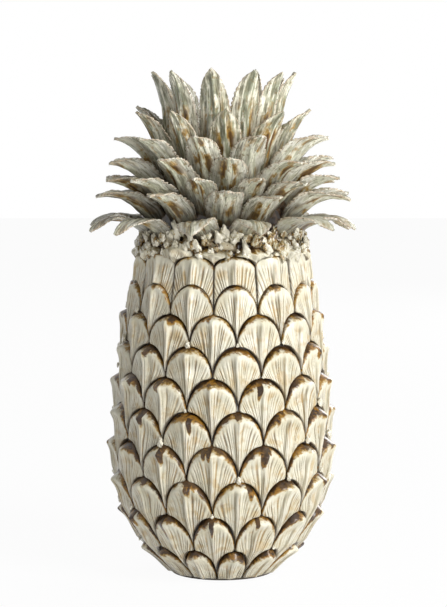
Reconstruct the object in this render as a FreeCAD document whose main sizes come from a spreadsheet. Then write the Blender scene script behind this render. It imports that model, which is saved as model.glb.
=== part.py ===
import FreeCAD, Part
import math
import os
import Sketcher
from FreeCAD import Placement, Rotation, Vector

# A hollow stoneware pineapple: a coiled shell clad in rows of fish-scale tiles, closed below by
# a slab with a vent hole, and a thrown crown core clad in rings of curled leaves.
# The origin is the middle of the face it stands on. +Z is up, and -Y is the front.

doc = FreeCAD.newDocument("pineapple")

# Driving sizes in millimetres and degrees. Shares are of the size that they are named for.
SIZES = [
    # felt and foot
    ("felt_thickness", "1.5"),
    ("felt_inset", "5"),
    ("felt_hole_radius", "12"),
    ("vent_diameter", "12"),
    ("base_thickness", "6"),
    # outline of the scale tips, up the body
    ("base_radius", "40"),
    ("belly_radius", "77.5"),
    ("belly_height", "80"),
    ("shoulder_radius", "59.5"),
    ("shoulder_height", "221"),
    ("shell_wall", "6"),
    ("seat_gap", "0.3"),
    # rows of scales
    ("first_row_rise", "22.5"),
    ("row_rise", "25"),
    ("row_rise_step", "0.8"),
    ("scale_count", "13"),
    ("lip_thickness", "7"),
    ("tail_thickness", "3"),
    ("tail_lift", "3"),
    ("scale_gap", "0.6"),
    ("scale_edge_share", "0.975"),
    ("bevel_angle", "36"),
    ("row_phase_angle", "8.5"),
    # neck: arched staves, and bracts in the notches between them
    ("stave_arch_rise", "7"),
    ("bract_rise", "8"),
    ("bract_thickness", "9"),
    # crown core
    ("core_step", "0.6"),
    ("core_taper", "8"),
    ("core_drum_height", "52"),
    ("core_dome_rise", "14"),
    ("core_wall", "5"),
    # leaves
    ("leaf_thickness", "2.4"),
    ("leaf_fold_angle", "24"),
    ("leaf_bury", "3"),
    ("leaf_lean_angle", "8"),
    ("leaf_sway_angle", "8"),
    ("leaf_stretch_share", "0.1"),
    # room past a face for a cut that goes right through
    ("cut_overrun", "6"),
]

# Each ring of leaves, lowest first: count, phase, where it is rooted, length, half width and the
# tilt from upright where it starts and where it ends. The root share runs up the core: 0 to 1 on
# the drum and 1 to 2 on the dome.
LEAF_RINGS = [
    ("ring_1", "12", "-14", "0.12", "51", "11.5", "44", "146"),
    ("ring_2", "11", "0", "0.3", "49", "11.5", "40", "106"),
    ("ring_3", "12", "-13", "0.43", "46", "10.5", "36", "96"),
    ("ring_4", "10", "3", "0.57", "48", "11.5", "29", "88"),
    ("ring_5", "10", "-15", "0.72", "50", "11.5", "17", "78"),
    ("ring_6", "10", "2", "0.87", "54", "11", "8", "46"),
    ("ring_7", "11", "-10", "1.1", "70", "9.5", "0", "26"),
]
LEAF_FIELDS = ("count", "phase_angle", "root_share", "leaf_length", "half_width", "start_tilt", "end_tilt")

# Hand-laid leaves differ: each one's turn as a share of the pitch, and its lean, sway and stretch
# as shares of the sizes, from the front round by the right. Rings with more leaves start again.
LEAF_PLACES = {
    "ring_1": (
        (0.05, 0.1, -0.9, -0.1), (0, 0, 0.7, -0.3), (0.2, -0.2, 0.5, 0.1), (0.1, 0, 0, 0.1),
        (0.05, 0.3, -0.2, 0.2), (-0.05, -0.2, 0.4, -0.3), (0.05, 0.2, -0.3, 0.3), (0, -0.3, 0.2, 0),
        (0.05, 0.1, 0.3, -0.2), (0.1, -0.1, 0, 0.2), (0, 0.2, -0.2, 0.1), (-0.2, 0.3, -0.2, 0),
    ),
    "ring_2": (
        (0.04, 0, 0, 0), (-0.2, 0.4, -0.1, -0.3), (0.1, 0.5, 0.5, 0.6), (-0.05, -0.2, 0, 0.1),
        (0.05, 0.2, -0.4, -0.2), (0, -0.3, 0.3, 0.3), (0.05, 0.3, 0.2, -0.3), (-0.05, -0.2, -0.5, 0.2),
        (0, 0.1, 0.2, 0), (-0.1, -0.1, -0.2, 0.1), (0, 0.2, -0.4, -0.1),
    ),
    "ring_3": (
        (0, 0, 0, 0), (0, 0, 0.1, 0), (-0.12, 0.4, -0.1, -0.1), (0, -0.4, 0.2, 0.3),
        (0, 0, -0.3, -0.2), (0.05, -0.3, 0.3, 0.2), (-0.05, 0.1, 0.4, 0), (0, 0.3, -0.3, 0.3),
        (0.05, 0, 0.2, -0.3), (0.05, -0.4, 0, 0.3), (0, -0.2, 0, 0.1), (-0.1, 0, -0.3, 0),
    ),
    "ring_4": (
        (0, 0, 0.4, 0), (0.05, 0.2, 0.1, -0.1), (0, 0.1, 0, 0), (-0.12, -0.1, 0.1, 0.8),
        (0, 0.3, -0.4, -0.2), (0.05, -0.2, 0.2, 0.1), (0, 0.2, 0.4, -0.3), (-0.12, 0, 0, 0.3),
        (-0.15, 0, -0.2, 0), (0.08, 0, -0.6, 0),
    ),
    "ring_5": (
        (0.07, 0, -0.4, 0), (0, 0, 0.1, 0.1), (0.16, 0, 0.2, 0.4), (0.05, 0, 0, 0.5),
        (0, 0.2, 0.4, -0.2), (-0.05, -0.1, -0.3, 0.2), (0.05, 0.2, 0.2, 0), (0, -0.1, -0.4, -0.2),
        (0.05, 0.1, 0, 0.4), (0, 0.1, 0.2, 0.1),
    ),
    "ring_6": (
        (0, 0, 0, 0), (-0.05, 0.1, 0.8, 0), (0.1, 0, 0.2, 0.3), (0, 0.1, 0, -0.1),
        (0, 0, -0.4, 0), (0.05, 0.2, 0.2, -0.3), (-0.05, 0.1, 0.3, 0.1), (0, 0, -0.1, 0.8),
        (-0.03, 0.1, -0.2, 0), (0.1, 0.1, -0.6, 0),
    ),
    "ring_7": (
        (0, 0, 0.2, 0.2), (0, 0, 0.1, 0), (0, 0, 0, -0.1), (0, 0.1, 0, 0),
        (-0.05, 0, -0.2, -0.5), (-0.05, -0.1, -0.2, 0.4), (0, 0, 0.1, -0.3), (0.05, 0, -0.1, -0.4),
        (0, 0.1, 0.1, -0.2), (0, 0, 0, 0), (0, 0, 0, 0),
    ),
}

# Along a leaf: the stations between its straight runs, its width at each, and how far each run has
# bent from the starting tilt to the end tilt. It bends most near the tip.
LEAF_STATION_SHARES = (0.0, 0.42, 0.78, 1.0)
LEAF_WIDTH_SHARES = (0.76, 1.0, 0.8, 0.08)
LEAF_BEND_SHARES = (0.06, 0.37, 0.8)

ROW_COUNT = 9
ARCH_FLATS = 3
NECK_FLATS = 2
SEAT_FACETS = 30
DOME_SHARES = (0.75, 0.4)
FLAT_ENOUGH = 0.001
# The levels where the shell's inside turns, from the neck down: fewer than outside, where no scale sits
INSIDE_LEVELS = (10, 5, 2, 0)

sizes = doc.addObject("Spreadsheet::Sheet", "Sizes")
for line, (alias, value) in enumerate(SIZES, start=1):
    sizes.set(f"A{line}", alias)
    sizes.set(f"B{line}", value)
    sizes.setAlias(f"B{line}", alias)

leaves = doc.addObject("Spreadsheet::Sheet", "Leaves")
for line, (ring, *values) in enumerate(LEAF_RINGS, start=1):
    leaves.set(f"A{line}", ring)
    for column, field, value in zip("BCDEFGH", LEAF_FIELDS, values):
        leaves.set(f"{column}{line}", value)
        leaves.setAlias(f"{column}{line}", f"{ring}_{field}")
doc.recompute()

# Levels follow from the sizes: level_0 is the foot, and level_k is where row k ends. At each level
# lip_k is the radius of the scale tips, and seat_k is the outside of the shell under them.
levels = doc.addObject("Spreadsheet::Sheet", "Levels")
derived = []


def derive(alias, formula):
    """Add one value that follows from others to the sheet of levels."""
    derived.append(alias)
    line = len(derived)
    levels.set(f"A{line}", alias)
    levels.set(f"B{line}", f"={formula}")
    levels.setAlias(f"B{line}", alias)
    doc.recompute()


def arc_radius(rise, drop):
    """Radius of an arc that is upright at one end and drops inwards over a rise."""
    return f"(({rise})^2 + ({drop})^2) / (2 * ({drop}))"


derive(
    "lower_arc",
    arc_radius("Sizes.belly_height - Sizes.felt_thickness", "Sizes.belly_radius - Sizes.base_radius"),
)
derive(
    "upper_arc",
    arc_radius("Sizes.shoulder_height - Sizes.belly_height", "Sizes.belly_radius - Sizes.shoulder_radius"),
)
for level in range(ROW_COUNT + 2):
    climbed = level - 1
    rise = "Sizes.felt_thickness"
    if level > 0:
        rise += f" + Sizes.first_row_rise + {climbed} * Sizes.row_rise"
        rise += f" - {climbed * (climbed - 1) // 2} * Sizes.row_rise_step"
    derive(f"level_{level}", rise)
    height = f"(level_{level} - Sizes.belly_height)"
    derive(
        f"lip_{level}",
        f"{height} < 0 ? Sizes.belly_radius - lower_arc + sqrt(lower_arc^2 - {height}^2)"
        f" : Sizes.belly_radius - upper_arc + sqrt(upper_arc^2 - {height}^2)",
    )
    derive(f"seat_{level}", f"lip_{level} - Sizes.lip_thickness - Sizes.seat_gap")
derive("half_pitch", "180 / Sizes.scale_count")
derive("on_axis", "0")
derive("rim", f"level_{ROW_COUNT + 1}")
derive("core_foot_radius", f"seat_{ROW_COUNT + 1} - Sizes.core_step")
derive("core_brow_radius", "core_foot_radius - Sizes.core_taper")
derive("core_brow", "rim + Sizes.core_drum_height")
derive("core_top", "core_brow + Sizes.core_dome_rise")
derive("level_notch", "rim - Sizes.stave_arch_rise")
derive(
    "seat_notch",
    f"seat_{ROW_COUNT} + (seat_{ROW_COUNT + 1} - seat_{ROW_COUNT})"
    f" * (level_notch - level_{ROW_COUNT}) / (rim - level_{ROW_COUNT})",
)
derive("level_bract", "rim + Sizes.bract_rise")
derive("seat_bract", "core_foot_radius - Sizes.core_taper * Sizes.bract_rise / Sizes.core_drum_height")
derive("lip_bract", "seat_bract + Sizes.bract_thickness")
derive("dome_radius", "(core_brow_radius^2 + Sizes.core_dome_rise^2) / (2 * Sizes.core_dome_rise)")


def size(alias, sheet=sizes):
    """A value of a sheet as a plain number."""
    return float(sheet.get(alias))


ON_AXIS = "Levels.on_axis"
HALF_GAP = "Sizes.scale_gap / 2"


def origin_feature(body, role):
    """The origin plane or axis of a body that has this role."""
    return [feature for feature in body.Origin.OriginFeatures if feature.Role == role][0]


def new_body(name):
    """A body that is named for its piece."""
    body = doc.addObject("PartDesign::Body", name)
    body.Label = name
    return body


def new_sketch(body, name, plane="XY_Plane", offset=None, bound=()):
    """A sketch on an origin plane of its body, moved by an offset bound to expressions."""
    sketch = body.newObject("Sketcher::SketchObject", name)
    sketch.AttachmentSupport = [(origin_feature(body, plane), "")]
    sketch.MapMode = "FlatFace"
    if offset:
        sketch.AttachmentOffset = offset
    for path, formula in bound:
        sketch.setExpression(f"AttachmentOffset.{path}", formula)
    return sketch


def number(sketch, formula):
    """What a formula gives now, as a plain number."""
    value = sketch.evalExpression(formula)
    return float(getattr(value, "Value", value))


def bind_point(sketch, edge, end, corner):
    """Tie one end of an edge to a pair of formulas, measured from the sketch's origin."""
    for kind, formula in zip(("DistanceX", "DistanceY"), corner):
        place = number(sketch, formula)
        index = sketch.addConstraint(Sketcher.Constraint(kind, -1, 1, edge, end, place))
        sketch.setExpression(f"Constraints[{index}]", formula)


def add_polygon(sketch, corners):
    """A closed run of straight edges whose corners are pairs of formulas."""
    points = [Vector(number(sketch, x), number(sketch, y), 0) for x, y in corners]
    first = sketch.GeometryCount
    for start, end in zip(points, points[1:] + points[:1]):
        sketch.addGeometry(Part.LineSegment(start, end), False)
    for step in range(len(points)):
        follower = first + (step + 1) % len(points)
        sketch.addConstraint(Sketcher.Constraint("Coincident", first + step, 2, follower, 1))
    for step, corner in enumerate(corners):
        bind_point(sketch, first + step, 1, corner)


def revolve(body, sketch, name):
    """Turn a sketch right round the body's upright axis."""
    feature = body.newObject("PartDesign::Revolution", name)
    feature.Profile = sketch
    feature.ReferenceAxis = (origin_feature(body, "Z_Axis"), [""])
    feature.Angle = 360
    return feature


def repeat_round(body, count, name):
    """Copy the whole body round the upright axis."""
    pattern = body.newObject("PartDesign::PolarPattern", name)
    pattern.TransformMode = "Whole shape"
    pattern.Axis = (origin_feature(body, "Z_Axis"), [""])
    pattern.Angle = 360
    pattern.setExpression("Occurrences", count)
    body.Tip = pattern
    return pattern


# The felt ring that the piece stands on
felt = new_body("felt_ring")
felt_sketch = new_sketch(felt, "felt_outline")
for place, radius in enumerate(("Sizes.base_radius - Sizes.felt_inset", "Sizes.felt_hole_radius")):
    felt_sketch.addGeometry(Part.Circle(Vector(), Vector(0, 0, 1), number(felt_sketch, radius)), False)
    felt_sketch.addConstraint(Sketcher.Constraint("Coincident", place, 3, -1, 1))
    index = felt_sketch.addConstraint(Sketcher.Constraint("Radius", place, number(felt_sketch, radius)))
    felt_sketch.setExpression(f"Constraints[{index}]", radius)
felt_pad = felt.newObject("PartDesign::Pad", "felt_pad")
felt_pad.Profile = felt_sketch
felt_pad.setExpression("Length", "Sizes.felt_thickness")

# The coiled shell: straight bands that follow the levels, hollow, open at both ends
shell = new_body("body_shell")
shell_sketch = new_sketch(shell, "shell_wall_outline", "XZ_Plane")
outside = [(f"Levels.seat_{level}", f"Levels.level_{level}") for level in range(ROW_COUNT + 2)]
inside = [(f"Levels.seat_{level} - Sizes.shell_wall", f"Levels.level_{level}") for level in INSIDE_LEVELS]
add_polygon(shell_sketch, outside + inside)
revolve(shell, shell_sketch, "shell_turned")

# The slab that closes the foot, with its vent hole
base = new_body("base_disc")
base_sketch = new_sketch(
    base,
    "base_outline",
    offset=Placement(Vector(0, 0, size("felt_thickness")), Rotation()),
    bound=[("Base.z", "Sizes.felt_thickness")],
)
base_radius = "Levels.seat_0 - Sizes.shell_wall - Sizes.seat_gap"
base_sketch.addGeometry(Part.Circle(Vector(), Vector(0, 0, 1), number(base_sketch, base_radius)), False)
base_sketch.addConstraint(Sketcher.Constraint("Coincident", 0, 3, -1, 1))
index = base_sketch.addConstraint(Sketcher.Constraint("Radius", 0, number(base_sketch, base_radius)))
base_sketch.setExpression(f"Constraints[{index}]", base_radius)
base_pad = base.newObject("PartDesign::Pad", "base_slab")
base_pad.Profile = base_sketch
base_pad.setExpression("Length", "Sizes.base_thickness")
doc.recompute()
vent_sketch = new_sketch(base, "vent_centre")
vent_sketch.addGeometry(Part.Circle(Vector(), Vector(0, 0, 1), size("vent_diameter") / 2), False)
vent_sketch.addConstraint(Sketcher.Constraint("Coincident", 0, 3, -1, 1))
index = vent_sketch.addConstraint(Sketcher.Constraint("Diameter", 0, size("vent_diameter")))
vent_sketch.setExpression(f"Constraints[{index}]", "Sizes.vent_diameter")
vent = base.newObject("PartDesign::Pocket", "vent_hole")
vent.Profile = vent_sketch
vent.Type = "ThroughAll"
vent.Midplane = True


def scale_section(body, name, level, thickness):
    """A bent strip across one scale at a level: a ridged front over a back that meets the shell."""
    back = f"(Levels.seat_{level} + Sizes.seat_gap) / cos(Levels.half_pitch / 2)"
    ridge = f"(Levels.seat_{level} + Sizes.seat_gap + {thickness})"
    edge = f"{ridge} * Sizes.scale_edge_share"
    turn = "Levels.half_pitch"
    sketch = new_sketch(
        body,
        name,
        offset=Placement(Vector(0, 0, size(f"level_{level}", levels)), Rotation()),
        bound=[("Base.z", f"Levels.level_{level}")],
    )
    add_polygon(sketch, [
        (ON_AXIS, f"-({back})"),
        (f"{back} * sin({turn})", f"-({back}) * cos({turn})"),
        (f"{edge} * sin({turn})", f"-({edge}) * cos({turn})"),
        (ON_AXIS, f"-{ridge}"),
        (f"-({edge}) * sin({turn})", f"-({edge}) * cos({turn})"),
        (f"-({back}) * sin({turn})", f"-({back}) * cos({turn})"),
    ])
    return sketch


def seat_corner(low, high, width_share, rise_share, inset="0", lift="0"):
    """A corner of a scale's outline on the shell between two levels, seen along the bevel."""
    seat = f"(Levels.seat_{low} + (Levels.seat_{high} - Levels.seat_{low}) * {rise_share:.6g})"
    height = f"(Levels.level_{low} + (Levels.level_{high} - Levels.level_{low}) * {rise_share:.6g} + {lift})"
    turn = f"Levels.half_pitch * {width_share:.6g}"
    across = f"{seat} * sin({turn}) - {inset}"
    along = f"{seat} * cos({turn}) * sin(Sizes.bevel_angle) + {height} * cos(Sizes.bevel_angle)"
    return across, along


def arch_shares(flats=ARCH_FLATS):
    """Half width and height along an arch struck in flats, between its springing and its tip."""
    for step in range(1, flats):
        turn = math.radians(90 * step / flats)
        yield math.cos(turn), math.sin(turn)


def arch_corners(low, high, flats=ARCH_FLATS):
    """Corners up the right side of an arch that springs at one level and has its tip at the next."""
    yield seat_corner(low, high, 1, 0, HALF_GAP)
    for width, rise in arch_shares(flats):
        yield seat_corner(low, high, width, rise, HALF_GAP, "-Sizes.scale_gap")
    yield ON_AXIS, seat_corner(low, high, 0, 1, lift="-Sizes.scale_gap")[1]


def tail_corners(low, high, flats=ARCH_FLATS):
    """Corners up the right side of a tail that fills the space between two arches."""
    yield ON_AXIS, seat_corner(low, high, 0, 0, lift="Sizes.tail_lift")[1]
    for width, rise in arch_shares(flats):
        yield seat_corner(low, high, 1 - width, rise, HALF_GAP)


def mirrored(right):
    """A closed outline from its right side, bottom to top, with the left side mirrored."""
    left = [(f"-({across})", along) for across, along in right if across != ON_AXIS]
    return right + left[::-1]


def cut_outside(body, outline, low, high, name):
    """Cut away all of a strip that lies outside an outline, along the slope of the bevel."""
    sketch = new_sketch(
        body,
        f"{name}_outline",
        offset=Placement(Vector(), Rotation(Vector(1, 0, 0), 90 + size("bevel_angle"))),
        bound=[("Rotation.Angle", "90 + Sizes.bevel_angle")],
    )
    add_polygon(sketch, mirrored(outline))
    room = "Sizes.cut_overrun"
    wide = f"(Levels.seat_{high} + Levels.seat_{low}) * sin(Levels.half_pitch) / 2 + 2 * {room}"
    foot = f"Levels.seat_{low} * cos(Levels.half_pitch) * sin(Sizes.bevel_angle)"
    foot += f" + Levels.level_{low} * cos(Sizes.bevel_angle) - 2 * {room}"
    head = f"Levels.lip_{high} * sin(Sizes.bevel_angle) + Levels.level_{high} * cos(Sizes.bevel_angle)"
    head += f" + 2 * {room}"
    add_polygon(sketch, [(wide, foot), (wide, head), (f"-({wide})", head), (f"-({wide})", foot)])
    pocket = body.newObject("PartDesign::Pocket", name)
    pocket.Profile = sketch
    pocket.Type = "ThroughAll"
    pocket.Midplane = True
    return pocket


def tile_strip(body, thickness_at):
    """A tapered strip up the shell, lofted through sections at levels of stated thickness."""
    sections = [
        scale_section(body, f"{body.Name}_section_{level}", level, thickness)
        for level, thickness in thickness_at.items()
    ]
    strip = body.newObject("PartDesign::AdditiveLoft", f"{body.Name}_strip")
    strip.Profile = sections[0]
    strip.Sections = sections[1:]
    strip.Ruled = True


def lay_round(body, half_pitches):
    """Repeat one tile round the shell, turned from the front by a number of half pitches."""
    repeat_round(body, "Sizes.scale_count", f"{body.Name}_round")
    body.Placement = Placement(Vector(), Rotation(Vector(0, 0, 1), size("row_phase_angle")))
    body.setExpression(
        "Placement.Rotation.Angle", f"Sizes.row_phase_angle + {half_pitches} * Levels.half_pitch"
    )


MIDDLE_THICKNESS = "(Sizes.tail_thickness + Sizes.lip_thickness) / 2"


def scale_row(row):
    """One row of scales: a tapered strip cut to a fish-scale outline, laid round the shell.

    The tail fills the space between two arches of the row below, and the arch rises above it. The
    lowest row has no arches below it, and runs straight down to the foot."""
    body = new_body(f"scale_row_{row:02d}")
    thickness_at = {row - 1: MIDDLE_THICKNESS, row: "Sizes.lip_thickness"}
    if row > 1:
        thickness_at = {row - 2: "Sizes.tail_thickness", **thickness_at}
        tail = list(tail_corners(row - 2, row - 1))
    else:
        tail = [seat_corner(0, 1, 1, 0, HALF_GAP, "-Sizes.cut_overrun")]
    tile_strip(body, thickness_at)
    cut_outside(body, tail + list(arch_corners(row - 1, row)), min(thickness_at), row, f"{body.Name}_cut")
    lay_round(body, (row + 1) % 2)
    return body


def stave_row():
    """The row under the neck: arched staves that straddle the arches of the last row of scales."""
    body = new_body("stave_row")
    low, middle, high = ROW_COUNT - 1, ROW_COUNT, ROW_COUNT + 1
    tile_strip(body, {low: "Sizes.tail_thickness", middle: MIDDLE_THICKNESS, high: "Sizes.lip_thickness"})
    crotch = [(ON_AXIS, seat_corner(low, middle, 0, 1)[1])]
    straddle = [seat_corner(low, middle, width, rise, f"-{HALF_GAP}") for width, rise in arch_shares()]
    foot = [seat_corner(low, middle, 1, 0, HALF_GAP, "Sizes.tail_lift")]
    foot.append(seat_corner(middle, high, 1, 0, HALF_GAP))
    head = list(arch_corners("notch", high, NECK_FLATS))
    cut_outside(body, crotch + straddle[::-1] + foot + head, low, high, "stave_cut")
    lay_round(body, 0)
    return body


def bract_ring():
    """Small bracts, tailed into the notches between the stave arches and rounded off above the rim."""
    body = new_body("bract_ring")
    low, middle, high = "notch", ROW_COUNT + 1, "bract"
    tile_strip(body, {low: MIDDLE_THICKNESS, middle: "Sizes.lip_thickness", high: "Sizes.bract_thickness"})
    outline = [*tail_corners(low, middle, NECK_FLATS), *arch_corners(middle, high, NECK_FLATS)]
    cut_outside(body, outline, low, high, "bract_cut")
    lay_round(body, 1)
    return body


rows = [scale_row(row) for row in range(1, ROW_COUNT + 1)] + [stave_row(), bract_ring()]

# The crown core: a thrown, tapered drum closed by a low dome, standing on the shell's rim
core = new_body("crown_core")
core_sketch = new_sketch(core, "core_wall_outline", "XZ_Plane")
core_corners = {
    "foot": ("Levels.core_foot_radius", "Levels.rim"),
    "brow": ("Levels.core_brow_radius", "Levels.core_brow"),
    "top": (ON_AXIS, "Levels.core_top"),
    "inner_top": (ON_AXIS, "Levels.core_top - Sizes.core_wall"),
    "inner_brow": ("Levels.core_brow_radius - Sizes.core_wall", "Levels.core_brow - Sizes.core_wall / 2"),
    "inner_foot": ("Levels.core_foot_radius - Sizes.core_wall", "Levels.rim"),
}


def dome_arc(brow, top):
    """The arc of a dome from its brow to its top, about a centre on the axis."""
    rise = top.y - brow.y
    radius = (brow.x ** 2 + rise ** 2) / (2 * rise)
    centre = Vector(0, top.y - radius, 0)
    middle = (brow + top) / 2 - centre
    return Part.Arc(brow, centre + middle * (radius / middle.Length), top)


point = {
    name: Vector(number(core_sketch, across), number(core_sketch, along), 0)
    for name, (across, along) in core_corners.items()
}
core_sketch.addGeometry(
    [
        Part.LineSegment(point["foot"], point["brow"]),
        dome_arc(point["brow"], point["top"]),
        Part.LineSegment(point["top"], point["inner_top"]),
        Part.LineSegment(point["inner_brow"], point["inner_top"]),
        Part.LineSegment(point["inner_brow"], point["inner_foot"]),
        Part.LineSegment(point["inner_foot"], point["foot"]),
    ],
    False,
)
for joined in ((0, 2, 1, 1), (1, 2, 2, 1), (2, 2, 3, 2), (3, 1, 4, 1), (4, 2, 5, 1), (5, 2, 0, 1)):
    core_sketch.addConstraint(Sketcher.Constraint("Coincident", *joined))
core_sketch.addConstraint(Sketcher.Constraint("PointOnObject", 1, 3, -2))
for (edge, end), name in zip(((0, 1), (0, 2), (2, 1), (2, 2), (4, 1), (4, 2)), core_corners):
    bind_point(core_sketch, edge, end, core_corners[name])
revolve(core, core_sketch, "core_turned")


def leaf_form(ring):
    """One leaf of a ring, cut from an even slab: chevrons along straight runs that curl outwards.

    The keel faces outwards and both wings sweep back. Each section halves the bend between two
    runs, which keeps the wings flat from station to station."""
    body = new_body(f"{ring}_form")
    share = f"Leaves.{ring}_root_share"
    if size(f"{ring}_root_share", leaves) < 1:
        up = f"Levels.rim + Sizes.core_drum_height * {share}"
        out = f"Levels.core_foot_radius - Sizes.core_taper * {share} - Sizes.leaf_bury"
    else:
        up = f"Levels.core_brow + Sizes.core_dome_rise * ({share} - 1)"
        out = f"sqrt(Levels.dome_radius^2 - ({up} - Levels.core_top + Levels.dome_radius)^2)"
        out += " - Sizes.leaf_bury"
    start, end = f"Leaves.{ring}_start_tilt", f"Leaves.{ring}_end_tilt"
    tilts = [f"({start} + ({end} - {start}) * {bent})" for bent in LEAF_BEND_SHARES]
    sections = []
    for place, (station, wide) in enumerate(zip(LEAF_STATION_SHARES, LEAF_WIDTH_SHARES)):
        before, after = tilts[max(place - 1, 0)], tilts[min(place, len(tilts) - 1)]
        if place > 0:
            run = f"Leaves.{ring}_leaf_length * {station - LEAF_STATION_SHARES[place - 1]:.6g}"
            out += f" + {run} * sin({before})"
            up += f" + {run} * cos({before})"
        tilt = f"({before} + {after}) / 2"
        stretched = f"cos(({after} - {before}) / 2)"
        sketch = new_sketch(body, f"{ring}_section_{place}")
        where = Vector(0, -number(sketch, out), number(sketch, up))
        sketch.AttachmentOffset = Placement(where, Rotation(Vector(1, 0, 0), number(sketch, tilt)))
        sketch.setExpression("AttachmentOffset.Base.y", f"-({out})")
        sketch.setExpression("AttachmentOffset.Base.z", up)
        sketch.setExpression("AttachmentOffset.Rotation.Angle", tilt)
        half = f"Leaves.{ring}_half_width * {wide}"
        swept = f"{half} * tan(Sizes.leaf_fold_angle) / {stretched}"
        slab = f"Sizes.leaf_thickness / {stretched}"
        add_polygon(sketch, [
            (ON_AXIS, ON_AXIS),
            (half, swept),
            (half, f"{swept} + {slab}"),
            (ON_AXIS, slab),
            (f"-({half})", f"{swept} + {slab}"),
            (f"-({half})", swept),
        ])
        sections.append(sketch)
    loft = body.newObject("PartDesign::AdditiveLoft", f"{ring}_loft")
    loft.Profile = sections[0]
    loft.Sections = sections[1:]
    loft.Ruled = True
    return body, sections[0].AttachmentOffset.Base


leaf_forms, leaf_roots = {}, {}
for ring, *_ in LEAF_RINGS:
    leaf_forms[ring], leaf_roots[ring] = leaf_form(ring)
doc.recompute()


def core_seat():
    """The outside of the crown core, grown by the seat gap, in flat facets that a leaf root is cut to.

    The facets run from the rim to the brow and over the dome, and one of their edges lies at the
    front, behind the keel of the leaf."""
    gap = size("seat_gap")
    rim, brow, top = (size(name, levels) for name in ("rim", "core_brow", "core_top"))
    foot_radius, brow_radius, dome = (
        size(name, levels) for name in ("core_foot_radius", "core_brow_radius", "dome_radius")
    )
    profile = [(foot_radius, rim), (brow_radius, brow)]
    for share in DOME_SHARES:
        radius = brow_radius * share
        profile.append((radius, top - dome + math.sqrt(dome ** 2 - radius ** 2) + gap))
    wires = []
    for radius, height in profile:
        corner = (radius + gap) / math.cos(math.pi / SEAT_FACETS)
        turns = [2 * math.pi * step / SEAT_FACETS for step in range(SEAT_FACETS + 1)]
        wires.append(Part.makePolygon(
            [Vector(corner * math.sin(turn), -corner * math.cos(turn), height) for turn in turns]
        ))
    return Part.makeLoft(wires, True, True)


def flat_solid(shape):
    """The same solid with every face flat: a face whose corners don't lie in one plane is halved."""
    faces = []
    for face in shape.Faces:
        corners = [vertex.Point for vertex in face.OuterWire.OrderedVertexes]
        rim = Part.makePolygon(corners + corners[:1])
        if rim.findPlane(FLAT_ENOUGH):
            faces.append(Part.Face(rim))
            continue
        for half in (corners[:3], [corners[2], corners[3], corners[0]]):
            faces.append(Part.Face(Part.makePolygon(half + half[:1])))
    shell = Part.makeShell(faces)
    shell.sewShape()
    solid = Part.makeSolid(shell)
    if solid.Volume < 0:
        solid.reverse()
    return solid


def leaf_ring(ring):
    """A ring of leaves from one form, each stretched, leaned and swayed, then fitted to the core."""
    form = flat_solid(leaf_forms[ring].Shape)
    seat = core_seat()
    count = round(size(f"{ring}_count", leaves))
    root = leaf_roots[ring]
    places = LEAF_PLACES[ring]
    solids = []
    for place in range(count):
        turn_share, lean_share, sway_share, stretch_share = places[place % len(places)]
        leaf = form.copy()
        leaf.scale(1 + size("leaf_stretch_share") * stretch_share, root)
        leaf.rotate(root, Vector(1, 0, 0), size("leaf_lean_angle") * lean_share)
        leaf.rotate(root, Vector(0, 1, 0), size("leaf_sway_angle") * sway_share)
        leaf = leaf.cut(seat)
        turn = size(f"{ring}_phase_angle", leaves) + 360 * (place + turn_share) / count
        leaf.rotate(Vector(), Vector(0, 0, 1), turn)
        solids.append(max(leaf.Solids, key=lambda solid: solid.Volume))
    feature = doc.addObject("Part::Feature", f"leaf_{ring}")
    feature.Shape = Part.makeCompound(solids)
    feature.Placement = Placement()
    return feature


rings = [leaf_ring(ring) for ring in leaf_forms]

doc.recompute()
pieces = [felt, shell, base, core] + rows + rings
for item in doc.Objects:
    if {"Invalid", "Error"} & set(item.State):
        raise RuntimeError(f"{item.Label} is {item.State}")
for piece in pieces:
    if piece.Shape.isNull() or not piece.Shape.isValid() or not piece.Shape.Solids:
        raise RuntimeError(f"{piece.Label} has no valid solid")

os.makedirs("parts", exist_ok=True)
for piece in pieces:
    piece.Shape.exportStep(f"parts/{piece.Label}.step")
    print(piece.Label, len(piece.Shape.Solids), "solids", round(piece.Shape.Volume), "mm3")
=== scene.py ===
import math
from functools import partial

import bpy
import numpy as np
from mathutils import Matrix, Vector


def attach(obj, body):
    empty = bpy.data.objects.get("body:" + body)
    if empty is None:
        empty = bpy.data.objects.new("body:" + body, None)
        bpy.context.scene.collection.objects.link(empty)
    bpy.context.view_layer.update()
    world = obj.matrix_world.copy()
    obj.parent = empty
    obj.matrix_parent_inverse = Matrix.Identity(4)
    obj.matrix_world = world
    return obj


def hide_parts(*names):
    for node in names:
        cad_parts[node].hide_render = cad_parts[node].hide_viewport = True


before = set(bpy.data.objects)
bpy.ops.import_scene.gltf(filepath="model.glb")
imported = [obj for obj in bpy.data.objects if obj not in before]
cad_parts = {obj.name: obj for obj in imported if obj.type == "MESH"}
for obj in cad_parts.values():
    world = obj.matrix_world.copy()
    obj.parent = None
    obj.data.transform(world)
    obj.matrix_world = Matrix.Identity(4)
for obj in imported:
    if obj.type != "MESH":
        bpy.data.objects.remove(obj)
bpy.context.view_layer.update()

# A hollow stoneware pineapple, hand-built and glazed: fish-scale tiles on a tapered body and a
# crown of folded slab leaves. Sizes are in millimetres, and put_mesh makes them metres.

MM = 0.001

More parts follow.
